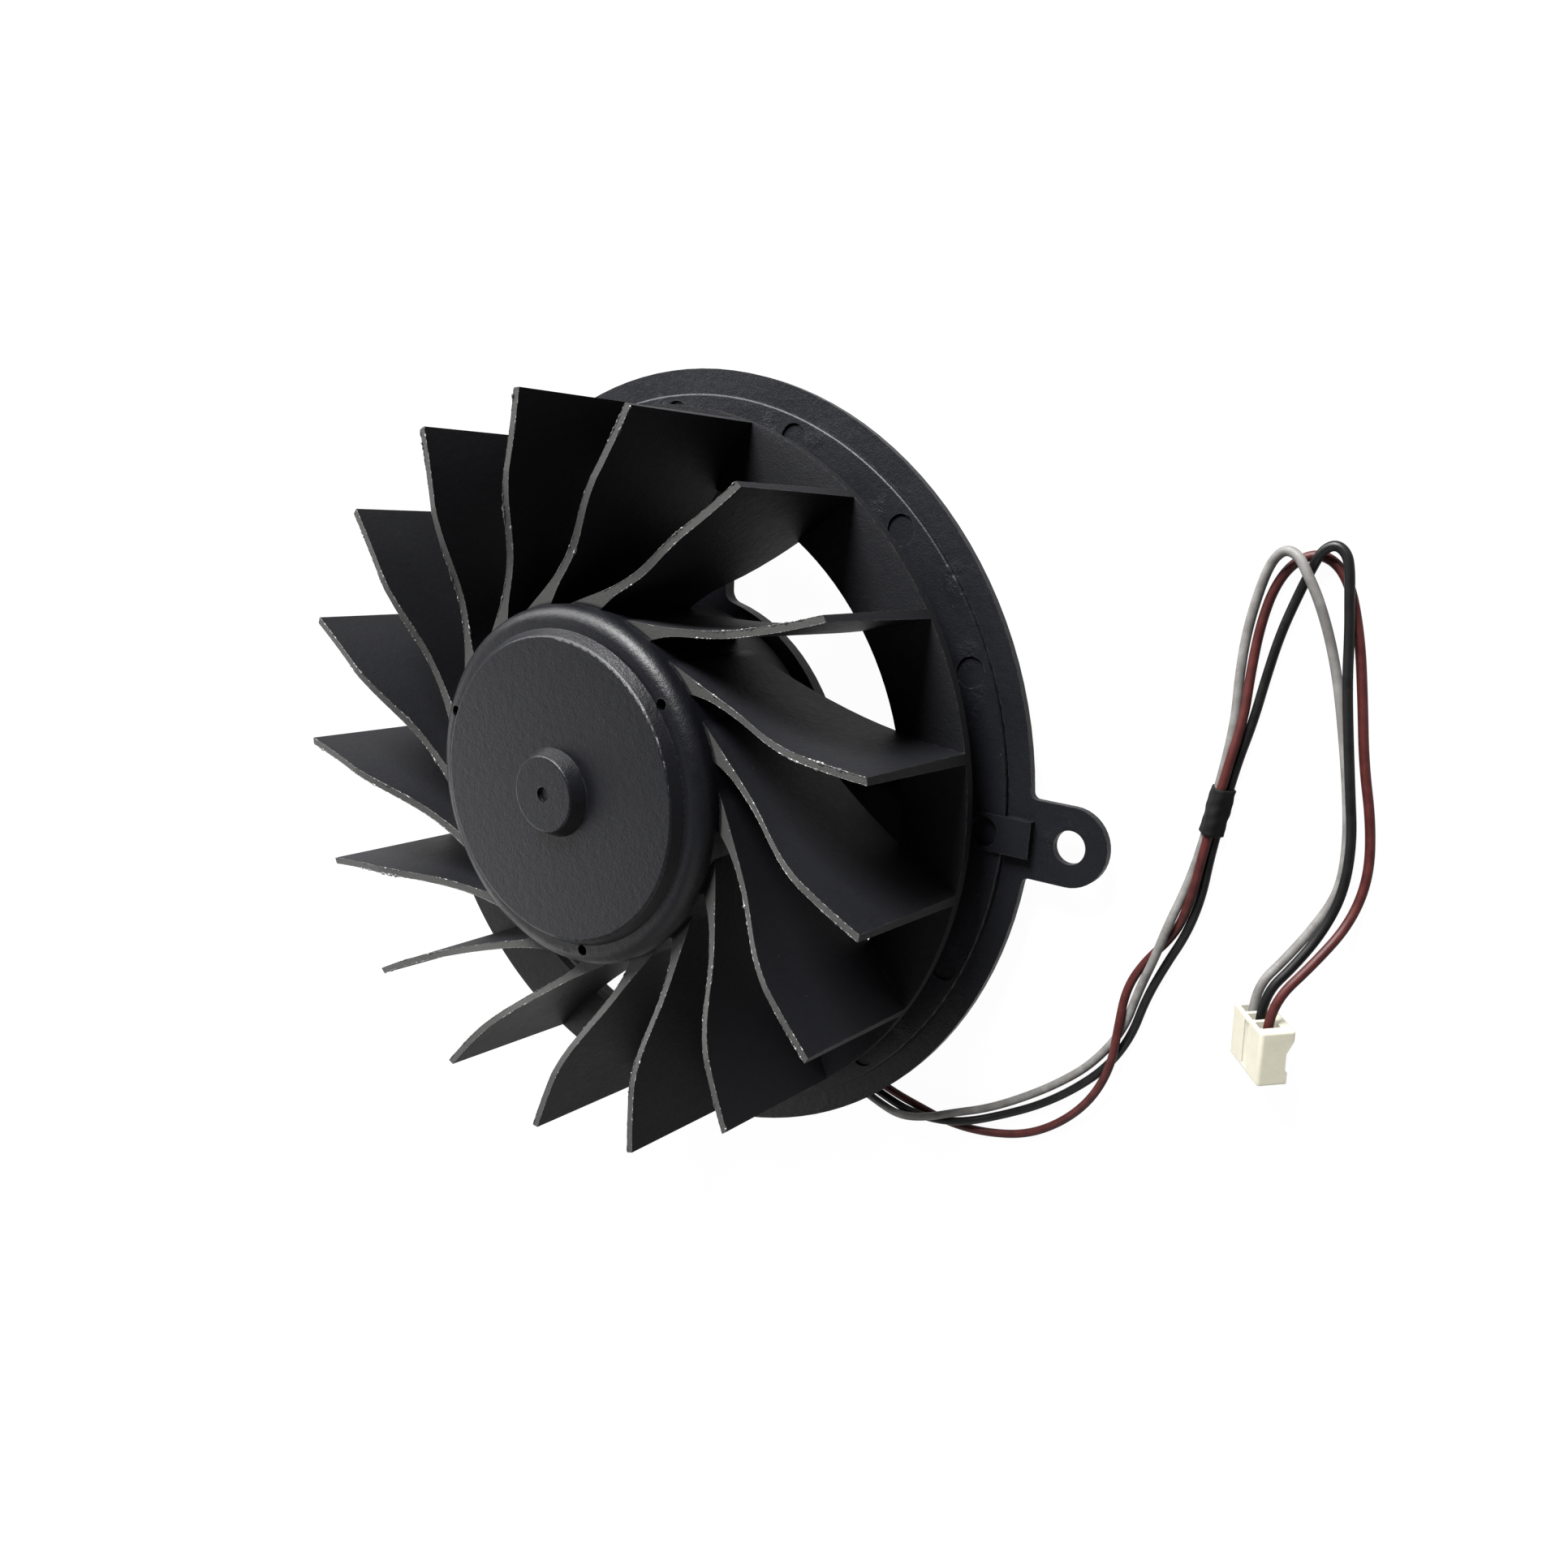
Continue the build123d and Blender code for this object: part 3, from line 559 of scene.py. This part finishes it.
def outer_edges(work):
    """Sharp edges between two faces that have the whole solid behind them."""
    corners = np.array([corner.co for corner in work.verts])

    def is_outer(face):
        ahead = (corners - np.array(face.calc_center_median())) @ np.array(face.normal)
        return ahead.max() < flush_within * mm

    outer = {face for face in work.faces if is_outer(face)}
    return [edge for edge in work.edges
            if outer.issuperset(edge.link_faces) and edge.calc_face_angle(0) > corner_above]


def softened(name, node, material, width, corner_width):
    """A copy of a CAD solid with its flats joined.

    Its outer edges are rounded by corner_width millimetres, and the rest by width.
    """
    piece = bpy.data.objects.new(name, nodes[node].data.copy())
    bpy.context.scene.collection.objects.link(piece)
    outwards(piece)
    work = bmesh.new()
    work.from_mesh(piece.data)
    bmesh.ops.dissolve_limit(work, angle_limit=join_below, verts=work.verts, edges=work.edges)
    corner_edges = outer_edges(work)
    bmesh.ops.bevel(work, geom=corner_edges, offset=corner_width * mm, segments=5, profile=0.5,
                    affect="EDGES", clamp_overlap=True)
    print(name, "rounded corners:", len(corner_edges))
    work.to_mesh(piece.data)
    work.free()
    piece.data.materials.clear()
    piece.data.materials.append(material)
    bevel = piece.modifiers.new("soft_edges", "BEVEL")
    bevel.width = width * mm
    bevel.segments = 3
    bevel.limit_method = "ANGLE"
    bevel.angle_limit = round_above
    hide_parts(node)
    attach(piece, "frame")
    return piece


plug = softened("plug_housing", "connector_housing", plug_plastic, 0.10, 0.30)
print("plug faces", len(plug.data.polygons))

# %% [markdown]
# Each soft lead stands in for its CAD node, which is hidden, and moves with the frame.

for node, (curve, line, length) in leads.items():
    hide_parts(node)
    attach(curve, "frame")

# %% [markdown]
# ## Flash on the blades
#
# Where the two halves of the mould met, along the front edge of each blade, a thin bead of plastic
# was squeezed out. On the real fan it is ragged and catches the light, more on some blades than on
# others. The bead follows the blade's own plan: its middle line is swept back by a power of the
# radius, and it thickens towards the hub. The height of the edge at each radius is read from the
# CAD mesh, whose upward faces outside the hub are the blades' front edges.

# %% The blade's plan
blade_count = 17
blade_phase = math.radians(96.5)
hub_r = 20.6
tip_r = 42.5
blade_half = 0.375
blade_sweep = math.radians(6.42)
blade_power = 2.5
root_flare = 0.85
root_flare_run = 1.1
clear_of_hub = 0.4
above_ring = 15.0
faces_up = 0.6


def edge_heights(radii):
    """Height of the blades' front edge at each radius, from the upward faces outside the hub."""
    mesh = nodes["impeller"].data
    corners = np.empty(len(mesh.vertices) * 3)
    mesh.vertices.foreach_get("co", corners)
    corners = corners.reshape(-1, 3) / mm
    normals = np.empty(len(mesh.polygons) * 3)
    mesh.polygons.foreach_get("normal", normals)
    loops = np.empty(len(mesh.loops), dtype=int)
    mesh.loops.foreach_get("vertex_index", loops)
    up = normals.reshape(-1, 3)[:, 2] > faces_up
    upward = corners[loops.reshape(-1, 3)[up]].reshape(-1, 3)
    out = np.hypot(upward[:, 0], upward[:, 1])
    front = upward[(out > hub_r + clear_of_hub) & (upward[:, 2] > above_ring)]
    out = np.hypot(front[:, 0], front[:, 1])
    order = np.argsort(out)
    return np.interp(radii, out[order], front[order, 2])


def edge_line(radii, side):
    """Plan of a blade's edge: the swept middle line, moved sideways by half the thickness."""
    turn = blade_sweep * ((tip_r / radii) ** blade_power - 1)
    slope = blade_sweep * blade_power * (tip_r / radii) ** blade_power
    half = blade_half + root_flare * np.exp(-(radii - hub_r) / root_flare_run)
    shift = side * half * np.sqrt(1 + slope ** 2)
    x = radii * np.cos(turn) - shift * np.sin(turn)
    y = radii * np.sin(turn) + shift * np.cos(turn)
    return np.stack([x, y, edge_heights(radii)], axis=-1)


print("edge heights near the hub and near the tip: %.2f and %.2f mm"
      % tuple(edge_heights(np.array([22.0, 42.0]))))

# %% [markdown]
# Two random curves set a bead's thickness: nicks, which follow closely on each other, and a slow
# swell, which says on which stretches the nicks stand out. Their powers keep most of the bead thin.

# %% The bead
flash_seed = 17
flash_rows = 120
flash_columns = 6
flash_from_hub = 1.3
flash_from_tip = 0.05
nick_knots = 90
swell_knots = 9
thinnest = 0.012
nick_height = 0.26
swell_height = 0.02
end_thickness = 0.002


def ragged(rng, knots):
    """A random curve from 0 to 1 through evenly spaced knots, one value for each row of a bead."""
    rows = np.linspace(0, 1, flash_rows)
    return np.interp(rows, np.linspace(0, 1, knots), rng.random(knots))


def bead(line, thickness):
    """A tube along a line: each ring is the line's sideways and upward ways times its thickness."""
    along = unit(np.gradient(line, axis=0))
    side = unit(np.cross(along, (0, 0, 1)))
    up = np.cross(side, along)
    turns = np.linspace(0, 2 * math.pi, flash_columns, endpoint=False)[:, None]
    ring = side[:, None] * np.cos(turns) + up[:, None] * np.sin(turns)
    return line[:, None] + ring * thickness[:, None, None]


def turned(angle):
    """The matrix that turns rows of points about Z."""
    cosine, sine = math.cos(angle), math.sin(angle)
    return np.array([[cosine, sine, 0], [-sine, cosine, 0], [0, 0, 1]])


def blade_flash():
    """Two beads on every blade, one for each side of its front edge.

    Thickness is a thin base, plus the nicks cubed times the swell squared, plus a little swell. It
    runs out to almost nothing at both ends.
    """
    rng = np.random.default_rng(flash_seed)
    radii = np.linspace(hub_r + flash_from_hub, tip_r - flash_from_tip, flash_rows)
    grids, faces = [], []
    for blade in range(blade_count):
        spin = turned(blade_phase + blade * 2 * math.pi / blade_count)
        for side in (-1, 1):
            nicks = ragged(rng, nick_knots) ** 3
            swell = ragged(rng, swell_knots) ** 2
            thickness = thinnest + nick_height * nicks * swell + swell_height * swell
            thickness[[0, -1]] = end_thickness
            grids.append(bead(edge_line(radii, side), thickness) @ spin)
            start = flash_rows * flash_columns * len(faces)
            faces.append(grid_faces(flash_rows, flash_columns, start))
    return np.concatenate(grids), list(map(tuple, np.concatenate(faces)))


points, faces = blade_flash()
print("flash grid:", points.shape, "faces:", len(faces))

# %% [markdown]
# Where flash is thin or torn, light scatters in it, so black plastic looks grey there.


# %% Dress the flash
def rubbed_plastic():
    """The same black plastic, paler where it is thin and torn."""
    finish = Finish("torn_flash")
    torn = finish.noise(0.35, 4.0, 0.7).rise(0.50, 0.70)
    return finish.surface(
        Base_Color=finish.blend(torn, grey(0.012), grey(0.22)),
        Roughness=0.40 + torn * 0.2,
        Specular_IOR_Level=0.15)


flash = outwards(surface_piece("blade_flash", points, faces, rubbed_plastic()))
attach(flash, "rotor")
print("flash faces", len(flash.data.polygons))

# %% [markdown]
# ## Black moulded plastic
#
# The frame and the impeller are glass-filled plastic, black through and through. What tells it from
# paint is its surface: a fine grain, gloss that drifts in slow clouds where the melt cooled
# unevenly, edges painted grey, partly as wear and partly as a painted highlight, and dust. The
# frame also has patches that tore a little as it left the mould. The blades' front edges get a
# painted highlight, paler than the faces, so a mask finds them: they face up, outside the hub, near
# the front.


# %% Frame and impeller
# The grey painted on edges: partly wear, and partly a painted highlight.
worn_and_highlight_grey = colour(0.016, 0.016, 0.0155)
dust_grey = colour(0.11, 0.11, 0.105)
front_from = 18.0


def moulded_black(name, base, torn_depth, edge_mask=None):
    """Grain and torn patches in the bump, clouds in the gloss, and a tone in layers.

    The layers are clouds, grain, streaks, a painted highlight on the front edges, worn edges that
    also carry a painted highlight, and dust. An edge mask gives two fields: where the front edges
    with their painted highlight are, and where the blades are, which have less gloss.
    """
    finish = Finish(name)
    grain = finish.noise(0.22, 3.0, 0.6)
    coarse = finish.noise(0.9, 4.0, 0.6)
    clouds = finish.noise(9.0, 4.0)
    # Edges in patches, grey partly from wear and partly as a painted highlight along the edges.
    wear_and_edge_highlight = finish.edges(0.22) * finish.noise(0.8, 4.0, 0.7).rise(0.42, 0.64)
    dust = finish.specks(2.3, 0.07) * finish.noise(5.0, 2.0).rise(0.5, 0.65)
    streaks = finish.noise(0.5, 3.0, 0.6, finish.around()).rise(0.6, 0.75) * clouds.rise(0.45, 0.6)
    torn = finish.noise(6.0, 1.0).rise(0.58, 0.72) * finish.noise(0.9, 4.0, 0.65)
    finish.bump(grain * 0.4 + coarse * 0.5 + torn * torn_depth, 0.09)
    tone = finish.blend(clouds, base, lighter(base, 1.6))
    tone = finish.blend(grain.rise(0.45, 0.8) * 0.5, tone, lighter(base, 2.0))
    tone = finish.blend(streaks * 0.25, tone, lighter(base, 2.2))
    rough = 0.24 + clouds * 0.12 + grain * 0.08 + coarse * 0.12
    if edge_mask:
        front, blades = edge_mask(finish)
        # Painted highlight: the blades' upward front edges are made paler.
        tone = finish.blend(front, tone, worn_and_highlight_grey)
        rough = rough + blades * 0.18
    # Worn edges, which also carry a painted highlight.
    tone = finish.blend(wear_and_edge_highlight * 0.75, tone, worn_and_highlight_grey)
    return finish.surface(
        Base_Color=finish.blend(dust * 0.7, tone, dust_grey),
        Roughness=rough,
        Specular_IOR_Level=0.1)


def front_edges(finish):
    """Two masks: the blades' front edges, which face up near the front and get a painted highlight,
    and the whole blades.
    """
    upward = finish.parts(finish.facing())[2].rise(0.5, 0.8)
    radius, height, _ = finish.parts(finish.around())
    blades = radius.rise(hub_r + 0.1, hub_r + 0.5)
    return upward * blades * height.rise(front_from, front_from + 1.0), blades


black_plastic = moulded_black("frame_black", colour(0.0020, 0.0021, 0.0028), 1.6)
impeller_plastic = moulded_black(
    "impeller_black", colour(0.0009, 0.00095, 0.0014), 0.0, front_edges)
print("black plastic ready")

# %% [markdown]
# ## Inside the motor
#
# The motor's parts hide under the hub, and show only where the windows and the gap under the hub
# let the eye in. Each still gets the finish its making leaves: turned and ground metal has rings
# about the axis, a stack of laminations has one line for each sheet, and a winding has one ridge
# for each turn of wire.


# %% Metals
sheet_thickness = 0.35
wire_pitch = 0.3


def turned_metal(name, tone, rough):
    """Metal cut on a lathe or ground: fine rings about the axis, and a faint bloom."""
    finish = Finish(name)
    rings = finish.noise(0.06, 3.0, 0.6, finish.around())
    bloom = finish.noise(2.0, 4.0)
    finish.bump(rings, 0.004)
    return finish.surface(
        Base_Color=finish.blend(bloom.rise(0.35, 0.75), tone, lighter(tone, 0.72)),
        Roughness=rough + rings * 0.10 + bloom * 0.08,
        Metallic=1.0)


def bright_metal(name, tone, rough):
    """Metal as it was plated, drawn or soldered: soft dents and a cloudy gloss."""
    finish = Finish(name)
    dents = finish.noise(0.5, 3.0)
    bloom = finish.noise(1.5, 5.0, 0.6)
    finish.bump(dents, 0.015)
    return finish.surface(
        Base_Color=finish.blend(bloom, lighter(tone, 0.7), tone),
        Roughness=rough + bloom * 0.15,
        Metallic=1.0)


def laminations():
    """Stacked steel sheets: a dark seam between each, as a sine of the height, and some rust."""
    finish = Finish("laminations")
    height = finish.parts(finish.place())[2]
    seam = (height * (2 * math.pi / sheet_thickness)).sine().rise(0.75, 1.0)
    rust = finish.noise(0.8, 5.0, 0.7).rise(0.60, 0.78)
    finish.bump(1 - seam, 0.03)
    steel = finish.blend(seam, colour(0.34, 0.345, 0.36), colour(0.08, 0.08, 0.085))
    return finish.surface(
        Base_Color=finish.blend(rust * 0.5, steel, colour(0.20, 0.09, 0.045)),
        Roughness=0.38 + seam * 0.2 + rust * 0.25,
        Metallic=0.9 - rust * 0.7)


def copper_windings():
    """Enamelled wire: a ridge for every turn, as a sine of the distance from the axis, and painted
    shade between the turns.
    """
    finish = Finish("copper_windings")
    radius = finish.parts(finish.around())[0]
    turns = (radius * (2 * math.pi / wire_pitch)).sine() * 0.5 + 0.5
    bloom = finish.noise(1.2, 4.0)
    finish.bump(turns.root(), 0.10)
    copper = finish.blend(bloom, colour(0.50, 0.18, 0.07), colour(0.66, 0.27, 0.11))
    return finish.surface(
        # Painted shade: the hollows between the turns are made dark.
        Base_Color=finish.blend(turns.rise(0.3, 0.0), copper, colour(0.10, 0.03, 0.012)),
        Roughness=0.26 + bloom * 0.12,
        Metallic=0.85)


print("metal finishes ready")

# %% [markdown]
# The rest of the motor is printed, moulded or fired. A board's green mask looks lighter where
# copper runs under it, and the moulded and fired bodies differ only in tone, grain and gloss.


# %% Board, packages and nylon
def board():
    """Green solder mask over copper: lighter where tracks run under it, in rings and blotches."""
    finish = Finish("green_board")
    tracks = finish.noise(0.9, 1.0, 0.3, finish.around()).rise(0.48, 0.52)
    blotches = finish.noise(3.0, 1.0).rise(0.45, 0.5)
    grain = finish.noise(0.15, 2.0)
    finish.bump(tracks * blotches, 0.03)
    return finish.surface(
        Base_Color=finish.blend(
            tracks * blotches, colour(0.010, 0.085, 0.035), colour(0.022, 0.16, 0.06)),
        Roughness=0.28 + grain * 0.12,
        Specular_IOR_Level=0.5)


def fine_grained(name, tone, rough, grain_size=0.12, spread=1.35):
    """A moulded or fired body: two close tones in a fine grain, with the grain in its gloss."""
    finish = Finish(name)
    grain = finish.noise(grain_size, 4.0, 0.6)
    clouds = finish.noise(1.8, 3.0)
    finish.bump(grain, 0.012)
    fine = finish.blend(grain, tone, lighter(tone, spread))
    return finish.surface(
        Base_Color=finish.blend(clouds * 0.4, fine, lighter(tone, 0.8)),
        Roughness=rough + grain * 0.15,
        Specular_IOR_Level=0.4)


brass = turned_metal("turned_brass", colour(0.72, 0.50, 0.20), 0.20)
bearing_steel = turned_metal("bearing_steel", colour(0.66, 0.67, 0.69), 0.12)
ground_steel = turned_metal("ground_steel", colour(0.60, 0.61, 0.63), 0.16)
tin = bright_metal("tin", colour(0.66, 0.65, 0.62), 0.28)
nylon = fine_grained("natural_nylon", colour(0.60, 0.57, 0.47), 0.45)
package = fine_grained("moulded_package", colour(0.020, 0.020, 0.021), 0.50, 0.08, 1.8)
print("inner finishes ready")

# %% [markdown]
# Every CAD node now gets its finish. The ends of the leads that the frame holds match the leads
# they belong to. The nodes that a piece of the scene stands in for don't show, so they need no
# finish of their own.

# %% Dress the CAD nodes
finish_of = {
    "base_frame": black_plastic,
    "impeller": impeller_plastic,
    "bearing_tube": brass,
    "hub_bush": brass,
    "lower_outer_race": bearing_steel,
    "upper_outer_race": bearing_steel,
    "lower_inner_race": bearing_steel,
    "upper_inner_race": bearing_steel,
    "lower_bearing_balls": bearing_steel,
    "upper_bearing_balls": bearing_steel,
    "lower_bearing_cage": ground_steel,
    "upper_bearing_cage": ground_steel,
    "shaft": ground_steel,
    "rotor_yoke": bright_metal("zinc_plate", colour(0.56, 0.57, 0.59), 0.30),
    "rotor_magnet": fine_grained("bonded_ferrite", colour(0.035, 0.034, 0.036), 0.45, 0.10, 2.2),
    "retaining_clip": bright_metal("blackened_spring", colour(0.16, 0.16, 0.17), 0.30),
    "preload_spring": bright_metal("spring_wire", colour(0.58, 0.58, 0.60), 0.22),
    "thrust_washer": nylon,
    "stator_core": laminations(),
    "stator_coils": copper_windings(),
    "lower_insulator": nylon,
    "upper_insulator": nylon,
    "winding_pins": tin,
    "lead_joints": tin,
    "connector_contacts": tin,
    "circuit_board": board(),
    "driver_chip": package,
    "hall_sensors": package,
    "board_capacitors": fine_grained("fired_ceramic", colour(0.34, 0.21, 0.10), 0.35),
    "red_brown_tail": lead_finishes["red_brown"],
    "black_tail": lead_finishes["black"],
    "grey_tail": lead_finishes["grey"],
}
for name, node in nodes.items():
    node.data.materials.clear()
    node.data.materials.append(finish_of.get(name, nylon))
print("dressed", len(finish_of), "nodes")

# %% [markdown]
# ## Floor and light
#
# Black plastic shows its lights, not its own colour, so each light is placed by what it draws.
# Soft light from beyond and a narrower lamp above it draw the bright band round the hub's shoulder
# and light the flange. Two on the left are what the flat cap mirrors to the camera, and one on the
# near side reaches the leads behind the fan. The sky is dark overhead, which keeps the spaces
# between the blades black, and pale near the horizon, where it joins the floor. The floor glows, so
# shadows on it stay as pale as in a product photograph.

# %% Floor
floor_half = 3.0


def pale_floor():
    """A flat square under the fan that gives off almost all of its own light."""
    mesh = bpy.data.meshes.new("floor")
    corners = [(-floor_half, -floor_half, 0), (floor_half, -floor_half, 0),
               (floor_half, floor_half, 0), (-floor_half, floor_half, 0)]
    mesh.from_pydata(corners, [], [(0, 1, 2, 3)])
    plane = bpy.data.objects.new("floor", mesh)
    bpy.context.scene.collection.objects.link(plane)
    finish = Finish("pale_floor")
    mesh.materials.append(finish.surface(
        Base_Color=grey(0.02), Roughness=0.95, Specular_IOR_Level=0.0,
        Emission_Color=grey(1.0), Emission_Strength=0.97))


pale_floor()
print("floor %.0f m across" % (2 * floor_half))

# %% [markdown]
# A lamp is given as the fan sees it: the direction it stands in, how wide it looks and how bright
# each patch of it is. Its power follows from its area.

# %% Lights
lamp_distance = 0.6
pale_up_to = math.radians(20)
dark_from = math.radians(40)
lamps = {
    "beyond": (135, 20, 21, 20.0),
    "band": (97, 33, 13, 150.0),
    "left": (205, 20, 25, 3.7),
    "near_side": (290, 42, 24, 3.0),
    "left_high": (215, 56, 20, 0.95),
}


def lamp(name, azimuth, elevation, spread, radiance):
    """A round soft light that faces the fan, with its place and half its width in degrees."""
    turn, rise = math.radians(azimuth), math.radians(elevation)
    flat = math.cos(rise)
    place = Vector((flat * math.cos(turn), flat * math.sin(turn), math.sin(rise)))
    data = bpy.data.lights.new(name, "AREA")
    data.shape = "DISK"
    data.size = 2 * lamp_distance * math.tan(math.radians(spread))
    data.energy = radiance * math.pi * math.pi * (data.size / 2) ** 2
    light = bpy.data.objects.new(name, data)
    light.location = place * lamp_distance
    light.rotation_euler = place.to_track_quat("Z", "Y").to_euler()
    bpy.context.scene.collection.objects.link(light)


def dome(horizon, overhead):
    """A sky of one strength near the horizon and another overhead, with a smooth step between."""
    world = bpy.data.worlds.new("studio")
    sky = Finish("studio", world)
    direction = sky.node("ShaderNodeTexCoord", {}, {}, "Generated")
    height = sky.parts(direction)[2].rise(math.sin(pale_up_to), math.sin(dark_from))
    background = sky.tree.nodes["Background"]
    sky.fill(background.inputs["Color"], grey(1.0))
    sky.fill(background.inputs["Strength"], horizon + height * (overhead - horizon))
    bpy.context.scene.world = world


dome(0.85, 0.03)
for name, (azimuth, elevation, spread, radiance) in lamps.items():
    lamp(name, azimuth, elevation, spread, radiance)
bpy.context.scene.view_settings.view_transform = "Standard"
print("lamps:", len(lamps))
